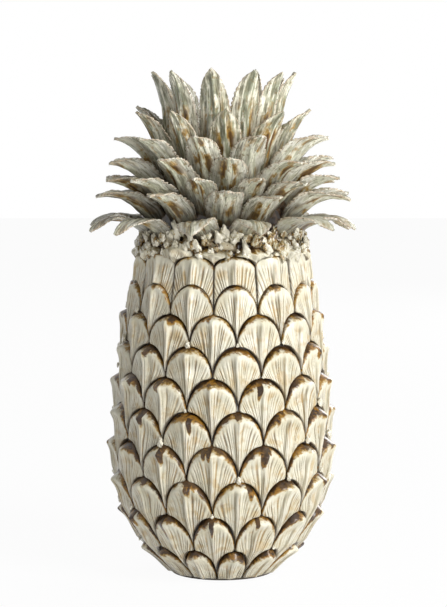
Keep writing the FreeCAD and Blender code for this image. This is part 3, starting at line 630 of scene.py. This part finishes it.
# Lumps of slip: how many, the band above the neck that they lie in, the greatest lean in radians,
# and how far they stand off the shell at these heights above the neck
LUMP_COUNT = 260
LUMP_BAND = 17.0
LUMP_LEAN = 1.2
LUMP_WIDTH, LUMP_WIDTH_VARY = 0.8, 2.1
LUMP_HEIGHT, LUMP_HEIGHT_VARY = 1.0, 4.8
LUMP_DEPTH, LUMP_DEPTH_VARY = 0.9, 1.2
LUMP_HEIGHTS, LUMP_OFFSETS = (-5, 0, 8, 16), (5.8, 6.2, 5.2, 1.0)

# Beads of glaze: the share of corners that hold one, their size and place, and their paleness,
# in part a painted highlight
BEAD_SHARE = 0.5
BEAD_SIZE, BEAD_VARY, BEAD_TALLER, BEAD_FLAT = 0.9, 1.1, 0.8, 0.8
BEAD_OUT, BEAD_LIFT, BEAD_LIFT_VARY = 4.8, 0.5, 1.5
BEAD_GLINT_PALENESS = 1.2


def slip_lumps(rng):
    """Slip squeezed out where the crown was luted to the body: small lumps on the stave tips, on
    the bracts and up to the roots of the lowest leaves, each with its own size and lean."""
    a, b, c, d, e = rng.random((5, LUMP_COUNT, 1, 1))
    climb = LUMP_BAND * a
    out = NECK_SEAT + np.interp(climb, LUMP_HEIGHTS, LUMP_OFFSETS)
    places = np.arange(LUMP_COUNT)[:, None, None]
    around = 2 * math.pi * (places + 0.8 * b) / LUMP_COUNT
    wide = LUMP_WIDTH + LUMP_WIDTH_VARY * c
    tall = LUMP_HEIGHT + LUMP_HEIGHT_VARY * c ** 1.5 * (0.4 + 0.9 * d)
    deep = LUMP_DEPTH + LUMP_DEPTH_VARY * c
    tilt = LUMP_LEAN * (e - 0.5)
    height = NECK_HEIGHT + climb
    return blobs("slip_lumps", around, out, height, wide, tall, deep, tilt, (a, c, d), e)


def glaze_beads(rng):
    """Pale beads of glaze run down into some of the corners between two arches. Their pale colour is
    in part a painted highlight for the glints in those corners, and their gloss adds real glints.
    """
    row, place = np.divmod(np.arange(SCALE_COUNT, ROW_COUNT * SCALE_COUNT), SCALE_COUNT)
    keep = rng.random(len(row)) < BEAD_SHARE
    row, place = row[keep][:, None, None], place[keep][:, None, None]
    a, c, d = rng.random((3, len(row), 1, 1))
    size = BEAD_SIZE + BEAD_VARY * c ** 2
    height = LEVELS[row] + BEAD_LIFT + BEAD_LIFT_VARY * d
    around = ROW_PHASE + (2 * place + 1 + row % 2) * HALF_PITCH
    out = seat_radius(height) + BEAD_OUT
    # Pale, in part a painted highlight for the glints in the corners
    tall, deep, kind = size * (1 + BEAD_TALLER * d), BEAD_FLAT * size, BEAD_GLINT_PALENESS + 0 * a
    return blobs("glaze_beads", around, out, height, size, tall, deep, 0 * a, (a, c, d), kind)


DRUM_STATIONS, DOME_STATIONS, CORE_POINTS = 70, 40, 360
DRUM_SPACING, DOME_END = 1.3, 0.004
COLLAR_RISE, COLLAR_WAVE, COLLAR_REACH = 8.0, 2.5, 6.0
COLLAR_SWELL, COLLAR_LUMP, CORE_LUMP, CORE_LEVEL = 0.5, 3.6, 0.8, 0.6
FOOT_CALM, POLE_CALM = 3.0, 20.0


def core_piece():
    """The crown core: drum and dome turned from their profile, with glaze and slip run down
    between the leaves in lumps, thickest in a collar just above the bracts."""
    top = NECK_HEIGHT + CORE_DRUM_HEIGHT + CORE_DOME_RISE
    drum = np.linspace(0, 1, DRUM_STATIONS) ** DRUM_SPACING
    arc = np.linspace(math.asin(CORE_BROW_RADIUS / CORE_DOME_RADIUS), DOME_END, DOME_STATIONS)
    drum_radius, dome_radius = CORE_FOOT_RADIUS - CORE_TAPER * drum, CORE_DOME_RADIUS * np.sin(arc)
    dome_height = top - CORE_DOME_RADIUS * (1 - np.cos(arc))
    radius = np.concatenate([drum_radius, dome_radius])[:, None]
    height = np.concatenate([NECK_HEIGHT + CORE_DRUM_HEIGHT * drum, dome_height])[:, None]
    around = np.linspace(0, 2 * math.pi, CORE_POINTS, endpoint=False)[None, :]
    lump = 0.45 + 0.3 * np.sin(7 * around + 2 * np.sin(3 * around) + 0.2 * height)
    lump = lump + 0.25 * np.sin(19 * around + 2.2 * np.sin(4 * around + 1) + height * 0.35)
    lump = lump + 0.25 * np.sin(11 * around - height * 0.6 + 2) * np.sin(31 * around + height * 0.8)
    lump = np.clip(lump, 0, 1)
    above = height - NECK_HEIGHT
    off_collar = above - COLLAR_RISE - COLLAR_WAVE * np.sin(5 * around)
    collar = np.exp(-(off_collar / COLLAR_REACH) ** 4)
    bulge = collar * (COLLAR_SWELL + COLLAR_LUMP * lump)
    bulge = bulge + (lump - CORE_LEVEL) * CORE_LUMP * ease(radius, 0, POLE_CALM)
    radius = radius - SEAT_GAP + bulge * ease(above, 0, FOOT_CALM)
    loops = wrapped(radius, around, height + 0 * around)[None]
    return put_mesh("glazed_crown_core", loops, {"lump": lump[None], "collar": collar[None]})


# Materials. Glazes are glass of IOR 1.5 over the slip, read as a clear coat on a rougher layer.
# Limits on a layer are in its own unit: millimetres, but shares for seeds, noises, edge_share, kind,
# lump and collar, stations for climb and counted lines for fan_line.
GLAZE_IOR = 1.5
GLAZE_SPECULAR = 0.3
GLAZE_COAT, COAT_ROUGHNESS = 0.4, 0.06
EASED = {"interpolation_type": "SMOOTHSTEP"}

# How far a seed from 0 to 1 is spread over a pattern, so that no two tiles or leaves are alike
LINE_SEED_SPREAD = 71.0
BREAK_SEED_SPREAD = 50.0
LEAF_SEED_SPREAD = 90.0


def linear(hex_colour):
    """A hex sRGB colour as linear RGBA."""
    parts = np.array([int(hex_colour[place:place + 2], 16) for place in (1, 3, 5)]) / 255
    curved = np.where(parts <= 0.04045, parts / 12.92, ((parts + 0.055) / 1.055) ** 2.4)
    return (*curved.tolist(), 1.0)


def add_node(tree, kind, inputs=(), out=None, **settings):
    """Add a node with its settings, fill and link its inputs, and return one of its outputs.

    Inputs are listed in the order of those in use, or named. Each is a number, a hex colour or an
    output to link. The output is the first in use, or the one named."""
    made = tree.nodes.new("ShaderNode" + kind)
    for name, value in settings.items():
        setattr(made, name, value)
    if not isinstance(inputs, dict):
        in_use = [number for number, socket in enumerate(made.inputs) if socket.enabled]
        inputs = dict(zip(in_use, inputs))
    for name, value in inputs.items():
        if isinstance(value, bpy.types.NodeSocket):
            tree.links.new(value, made.inputs[name])
        else:
            made.inputs[name].default_value = linear(value) if isinstance(value, str) else value
    if out:
        return made.outputs[out]
    return next((socket for socket in made.outputs if socket.enabled), None)


def new_material(name):
    """An empty material, and add_node for its tree."""
    material = bpy.data.materials.new(name)
    material.use_nodes = True
    material.node_tree.nodes.clear()
    return material, partial(add_node, material.node_tree)


def layers_of(add, *names):
    """What put_mesh stored at each point under these names."""
    return [add("Attribute", out="Fac", attribute_name=name) for name in names]


def mottles(add, *sizes):
    """Noises on the piece itself, each with blobs about one size in millimetres and its detail."""
    point = add("TexCoord", out="Object")
    return [add("TexNoise", [point, 1 / (size * MM), detail]) for size, detail in sizes]


def uneven(add, value, mottle, reach):
    """A value moved by a noise, by up to half the reach either way."""
    centred = add("Math", [mottle, 0.5], operation="SUBTRACT")
    return add("Math", [centred, reach, value], operation="MULTIPLY_ADD")


def cover(add, *shares):
    """The product of shares. Each is a number, an output, or a value with two limits, between which
    it eases from 0 to 1."""
    eased = [
        add("MapRange", share, **EASED) if isinstance(share, tuple) else share for share in shares
    ]
    total = eased[0]
    for share in eased[1:]:
        total = add("Math", [total, share], operation="MULTIPLY")
    return total


def paint(add, base, *coats):
    """Coats laid over a base colour in turn, each a colour and the shares of its cover."""
    for colour, *shares in coats:
        base = add("Mix", [cover(add, *shares), base, colour], data_type="RGBA")
    return base


def fired_gloss(add, base, relief, strength, depth, roughness, coat=GLAZE_COAT):
    """The skin of a fired glaze: a smooth coat over a slightly rougher layer, with a small bump."""
    bump = add("Bump", {"Strength": strength, "Distance": depth * MM, "Height": relief})
    skin = {
        "Base Color": base,
        "Roughness": roughness,
        "IOR": GLAZE_IOR,
        "Specular IOR Level": GLAZE_SPECULAR,
        "Coat Weight": coat,
        "Coat Roughness": COAT_ROUGHNESS,
        "Normal": bump,
    }
    add("OutputMaterial", [add("BsdfPrincipled", skin)])


def scale_glaze():
    """Cream slip under clear gloss glaze, combed before firing. The eye sees a warm white with soft
    highlights, ochre in the combed lines, and amber to umber where the glaze pooled in a thick,
    darker edge under each arch. A painted highlight runs along the crest of each rib, and a painted
    shade runs down its left flank."""
    material, add = new_material("cream_slip_clear_gloss_glaze")
    fan, seed, off_rib, climb, side, pool_edge = layers_of(
        add, "fan_line", "seed", "off_rib", "climb", "side_room", "pool_edge"
    )
    cloud, broad, patch, fine, tint, wash, spread, drip, blot = mottles(
        add, (11, 3), (19, 2), (5, 3), (1.6, 3), (7, 2), (8, 2), (9, 2), (2, 4), (4, 2)
    )
    fade = cover(add, (pool_edge, 1.0, 9.0), (climb, 1.95, 1.55))

    # Each combed line has its own width and strength, and breaks up along its length. fan counts
    # the lines, so widths are shares of the 3 degrees between two of them.
    nearest = add("Math", [fan], operation="ROUND")
    number = add("Math", [nearest, cover(add, seed, LINE_SEED_SPREAD)], operation="ADD")
    own = add("TexWhiteNoise", [number], noise_dimensions="1D")
    strength = cover(add, (own, 0.1, 0.9))
    width = add("Math", [strength, 0.26, 0.16], operation="MULTIPLY_ADD")
    off_line = add("Math", [fan, nearest], operation="SUBTRACT")
    off_line = add("Math", [off_line], operation="ABSOLUTE")
    point = [cover(add, fan, 1.3), cover(add, climb, 1.4), cover(add, seed, BREAK_SEED_SPREAD)]
    broken = add("TexNoise", [add("CombineXYZ", point), 1.0, 2.0])
    filled = add("Math", [strength, 0.65, 0.35], operation="MULTIPLY_ADD")
    line = cover(add, (off_line, width, 0.06), (broken, 0.25, 0.5), fade, filled)

    # Painted shade down the left flank of each rib, 1.9 mm off it, and a painted highlight along its
    # crest
    off_painted_rib_shade = add("Math", [off_rib, 1.9], operation="ADD")
    off_painted_rib_shade = add("Math", [off_painted_rib_shade], operation="ABSOLUTE")
    off_painted_rib_highlight = add("Math", [off_rib], operation="ABSOLUTE")
    edge = uneven(add, pool_edge, drip, 5.0)
    base = paint(
        add, "#E5E1CE",
        ("#D7D0B6", (cloud, 0.35, 0.65)),
        ("#CCCAB5", (broad, 0.48, 0.66), 0.45),
        ("#F0ECDF", (patch, 0.52, 0.72), 0.35),
        ("#BE9C57", (wash, 0.5, 0.68), fade, 0.5),
        (paint(add, "#9E7830", ("#6E5429", (tint, 0.42, 0.58))), line, 0.85),
        ("#4A3B2A", (side, 1.5, 0.1), 0.75),
        # painted shade beside the rib, then a painted highlight on its crest
        ("#857A5E", (off_painted_rib_shade, 1.1, 0.2), fade, 0.6),
        ("#EEE9DA", (off_painted_rib_highlight, 1.0, 0.2), fade, 0.4),
        ("#A28036", (edge, 2.4, 0.0), (spread, 0.4, 0.52)),
        (paint(add, "#50381B", ("#8E641C", (wash, 0.46, 0.56))), (edge, 1.0, -0.9)),
        ("#34220F", (edge, -0.3, -2.2), (blot, 0.4, 0.56)),
    )
    grain = cover(add, fine, 0.6)
    relief = add("Math", [grain, line], operation="SUBTRACT")
    fired_gloss(add, base, relief, strength=0.8, depth=0.4, roughness=0.35)
    return material


# Streaks, hairlines and runs in the leaves' glaze: width and length in millimetres, detail, and a
# shift that keeps the patterns apart
LEAF_STREAKS = ((1.818, 13.33, 3, 0), (0.769, 10, 2, 7), (5, 20, 3, 0))


def leaf_glaze(name, thick, thin, grey):
    """Celadon gloss over cream slip. The eye sees grey-green where it lies thick, cream where it
    thins at edges and ridges, and amber and umber where it ran into the channels and the roots.
    Painted shade darkens the inner faces and deepens towards the roots, where the leaves crowd."""
    material, add = new_material(name)
    off_keel, run, own, edge_share, inside = layers_of(
        add, "off_keel", "run", "seed", "edge_share", "inside"
    )
    cloud, patch, fine, grain, speck = mottles(add, (9, 3), (4, 3), (1.5, 3), (5, 2), (3, 2))
    streaks = []
    for width, length, detail, shift in LEAF_STREAKS:
        across, along = cover(add, off_keel, 1 / width), cover(add, run, 1 / length)
        apart = add("Math", [own, LEAF_SEED_SPREAD, shift], operation="MULTIPLY_ADD")
        point = add("CombineXYZ", [across, along, apart])
        streaks.append(add("TexNoise", [point, 1.0, detail]))
    streak, hair, flow = streaks

    keel = add("Math", [off_keel], operation="ABSOLUTE")
    thinned = uneven(add, edge_share, cloud, 2.2)
    pooling = uneven(add, flow, patch, 0.3)
    base = paint(
        add, thick,
        (thin, (thinned, 0.15, 0.8)),
        (grey, (streak, 0.53, 0.62), 0.8),
        ("#FAF6E2", (streak, 0.5, 0.42), 0.9),
        (grey, (grain, 0.54, 0.64), 0.4),
        ("#5B533A", (hair, 0.56, 0.65), 0.65),
        ("#8B7340", (speck, 0.6, 0.7), 0.6),
        (
            paint(add, "#B68E3C", ("#633F12", (pooling, 0.53, 0.64))),
            (keel, 0.2, 1.2), (keel, 8.5, 4.0), (run, 60.0, 34.0), (pooling, 0.47, 0.57), 0.95,
        ),
        # Painted shade: the inner faces of the leaves are darkened
        ("#6E6A54", inside, 0.5),
        ("#C7B196", (edge_share, 0.88, 0.97), (patch, 0.38, 0.5), 0.6),
        ("#5A4630", (edge_share, 0.88, 0.97), (fine, 0.55, 0.65), 0.8),
        # Painted shade that deepens towards the roots where the leaves crowd, darkest at the roots
        # over umber glaze that pooled there
        ("#58523A", (uneven(add, run, hair, 60.0), 40.0, 16.0), 0.35),
        (
            paint(add, "#2A241A", ("#503F25", (patch, 0.42, 0.58))),
            (uneven(add, run, streak, 40.0), 26.0, 5.0), 0.9,
        ),
    )
    grooves = add("Math", [hair, 0.6, streak], operation="MULTIPLY_ADD")
    relief = add("Math", [cover(add, fine, 0.4), grooves], operation="SUBTRACT")
    fired_gloss(add, base, relief, strength=0.8, depth=0.8, roughness=0.28)
    return material


def pooled_glaze():
    """Iron-brown glaze run thick into the joints over lumps of cream slip. The eye sees a dark,
    glassy ground, amber where it thins and cream on the tops of the lumps."""
    material, add = new_material("pooled_iron_brown_glaze")
    lump, collar = layers_of(add, "lump", "collar")
    patch, rough = mottles(add, (4, 3), (2.2, 4))
    height = uneven(add, lump, rough, 2.0)
    base = paint(
        add, "#241B14",
        ("#4B3620", (patch, 0.4, 0.65)),
        ("#96702E", (height, 0.25, 0.45), collar, 0.9),
        ("#D3C9AC", (height, 0.35, 0.65), collar, 0.95),
    )
    fired_gloss(add, base, patch, strength=0.4, depth=0.5, roughness=0.3)
    return material


def lump_glaze():
    """Lumps of slip under clear gloss. The eye sees wet-looking lumps, most of them cream, some
    amber and some umber."""
    material, add = new_material("slip_lumps_gloss_glaze")
    kind, = layers_of(add, "kind")
    patch, = mottles(add, (2.2, 4))
    paleness = uneven(add, kind, patch, 1.5)
    base = paint(
        add, "#45341C",
        ("#94722F", (paleness, -0.1, 0.2)),
        ("#A69F80", (paleness, 0.05, 0.35)),
        ("#DCD6C2", (paleness, 0.25, 0.6)),
    )
    fired_gloss(add, base, patch, strength=0.6, depth=0.8, roughness=0.2, coat=1.0)
    return material


def bare_clay():
    """Unglazed stoneware of the foot, wiped clean before firing: matt and sandy."""
    material, add = new_material("unglazed_stoneware")
    sand, = mottles(add, (1.2, 4))
    base = paint(add, "#B39A7C", ("#9C8468", (sand, 0.4, 0.6)))
    add("OutputMaterial", [add("BsdfPrincipled", {"Base Color": base, "Roughness": 0.85})])
    return material


def felt_fabric():
    """Pressed wool felt: matt, with a soft sheen. Its fibres are a few hundredths of a millimetre
    thick, so the fleck is drawn coarser, at 0.6 mm."""
    material, add = new_material("pressed_wool_felt")
    fleck, = mottles(add, (0.6, 5))
    wool = {
        "Base Color": paint(add, "#4C463F", ("#5E574E", fleck)),
        "Roughness": 0.95,
        "Sheen Weight": 0.3,
    }
    add("OutputMaterial", [add("BsdfPrincipled", wool)])
    return material


def dress(piece, material, cad_node=None):
    """Give a piece its material and slot, and let it take the place of its node in the frame."""
    piece.data.materials.append(material)
    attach(piece, "root")
    if cad_node:
        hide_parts(cad_node)


# Bevel slope and reach of the pooled glaze, from the lowest row to the neck
ROW_SLOPES = (1.5, 1.45, 1.4, 1.4, 1.4, 1.5, 1.7, 2.1, 2.6)
ROW_POOLS = (4.0, 3.9, 3.7, 3.7, 3.6, 3.3, 2.6, 1.9, 1.4)
BRACT_SLOPE, BRACT_POOL, BRACT_LUMP, BRACT_UNEVEN = 1.8, 1.4, 1.0, 0.7

rng = np.random.default_rng(7)
scale_material = scale_glaze()
leaf_material = leaf_glaze("celadon_gloss_glaze", "#F2F3DB", "#FFFDF0", "#C0BFA5")
top_leaf_material = leaf_glaze("thick_celadon_gloss_glaze", "#A8AB91", "#DCD7BE", "#7C7B62")
pooled_material = pooled_glaze()
lump_material = lump_glaze()

for row in range(1, ROW_COUNT + 1):
    steps = np.clip([row - 2, row - 1, row], 0, None)
    tiles = tile_ring(
        f"glazed_scales_{row:02d}", LEVELS[steps], SEATS[steps],
        (TAIL_THICKNESS, MIDDLE_THICKNESS, LIP_THICKNESS), (row + 1) % 2, rng,
        ROW_SLOPES[row - 1], ROW_POOLS[row - 1], tailed=row > 1,
    )
    dress(tiles, scale_material, f"scale_row_{row:02d}")

dress(stave_pieces(rng), scale_material, "stave_row")

bract_foot = NECK_HEIGHT - STAVE_ARCH_RISE
bract_tip_seat = CORE_FOOT_RADIUS - CORE_TAPER * BRACT_RISE / CORE_DRUM_HEIGHT
bracts = tile_ring(
    "glazed_bract_ring", (bract_foot, NECK_HEIGHT, NECK_HEIGHT + BRACT_RISE),
    (float(seat_radius(bract_foot)), NECK_SEAT, bract_tip_seat),
    (MIDDLE_THICKNESS, LIP_THICKNESS, BRACT_THICKNESS), 1, rng,
    BRACT_SLOPE, BRACT_POOL, lump=BRACT_LUMP, uneven_tips=BRACT_UNEVEN,
)
dress(bracts, scale_material, "bract_ring")

lumps = slip_lumps(rng)
for ring in LEAF_RINGS:
    ring_material = top_leaf_material if ring in TOP_RINGS else leaf_material
    dress(leaf_pieces(ring, rng), ring_material, ring)
for drops in (lumps, glaze_beads(rng)):
    dress(drops, lump_material)
dress(core_piece(), pooled_material, "crown_core")

shown_nodes = {"body_shell": pooled_material, "base_disc": bare_clay(), "felt_ring": felt_fabric()}
for cad_node, node_material in shown_nodes.items():
    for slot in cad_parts[cad_node].material_slots:
        slot.material = node_material


# Floor, light and camera, in metres and watts

FLOOR_HALF_WIDTH = 6.0
FLOOR_WHITE_SHARE = 0.95
WORLD_STRENGTH = 0.25

# Each lamp's place, what it points at, its width and height, and its power
LAMPS = {
    "key": ((1.7, -1.45, 0.42), (0, 0, 0.15), (0.75, 0.75), 15),
    "front": ((1.0, -2.0, 0.12), (0, 0, 0.07), (1.0, 0.4), 13),
    "top": ((0.9, -0.9, 1.2), (0.12, -0.15, 0.15), (0.6, 0.6), 16),
    "far side": ((1.3, 1.9, 0.9), (0, 0, 0.18), (1.2, 1.0), 22),
}

# The photograph's frame is 447 by 607 pixels. The rims of the scales show from above, so the camera
# is higher than the middle of the object and looks slightly down.
FRAME_HEIGHT_PX = 607
FOCAL_PX = 2050
SENSOR_MM = 36.0
CAMERA_PLACE = (0.0, -1.4, 0.30)
CAMERA_AIM = (0.001, 0.0, 0.1848)


def seen_ray(add):
    """1 for what the camera sees, straight or in a reflection or through glass, else 0."""
    seen = add("LightPath", out="Is Camera Ray")
    for ray in ("Is Glossy Ray", "Is Transmission Ray"):
        seen = add("Math", [seen, add("LightPath", out=ray)], operation="MAXIMUM")
    return seen


def stage_floor():
    """A wide sheet of white paper that the camera sees as white but that still takes a shadow."""
    side = FLOOR_HALF_WIDTH
    corners = [(-side, -side, 0), (side, -side, 0), (side, side, 0), (-side, side, 0)]
    mesh = bpy.data.meshes.new("floor")
    mesh.from_pydata(corners, [], [(0, 1, 2, 3)])
    floor = bpy.data.objects.new("floor", mesh)
    bpy.context.scene.collection.objects.link(floor)
    material, add = new_material("white_paper")
    paper = add("BsdfPrincipled", {"Base Color": "#F4F4F4", "Roughness": 0.9})
    white = add("Emission", ["#FFFFFF", 1.0])
    share = cover(add, seen_ray(add), FLOOR_WHITE_SHARE)
    add("OutputMaterial", [add("MixShader", [share, paper, white])])
    mesh.materials.append(material)


def set_world():
    """White to the camera and soft grey-white to the object."""
    world = bpy.data.worlds.new("studio")
    bpy.context.scene.world = world
    world.use_nodes = True
    world.node_tree.nodes.clear()
    add = partial(add_node, world.node_tree)
    dim = add("Background", ["#FFFFFF", WORLD_STRENGTH])
    white = add("Background", ["#FFFFFF", 1.0])
    add("OutputWorld", [add("MixShader", [seen_ray(add), dim, white])])


def aimed(name, data, place, aim):
    """An object at a place, whose own -Z points at the aim."""
    holder = bpy.data.objects.new(name, data)
    bpy.context.scene.collection.objects.link(holder)
    holder.location = place
    holder.rotation_euler = (Vector(aim) - Vector(place)).to_track_quat("-Z", "Y").to_euler()
    return holder


def set_lamps():
    """Soft boxes to the right, in front, above and behind."""
    for name, (place, aim, size, watts) in LAMPS.items():
        lamp = bpy.data.lights.new(name, "AREA")
        lamp.shape = "RECTANGLE"
        lamp.size, lamp.size_y = size
        lamp.energy = watts
        aimed(name, lamp, place, aim).visible_camera = False


def set_camera():
    """The camera of the photograph, from the focal length that its height in pixels gives."""
    camera = bpy.data.cameras.new("camera")
    camera.sensor_width = SENSOR_MM
    camera.lens = SENSOR_MM * FOCAL_PX / FRAME_HEIGHT_PX
    bpy.context.scene.camera = aimed("camera", camera, CAMERA_PLACE, CAMERA_AIM)


stage_floor()
set_world()
set_lamps()
set_camera()
bpy.context.scene.view_settings.view_transform = "Standard"
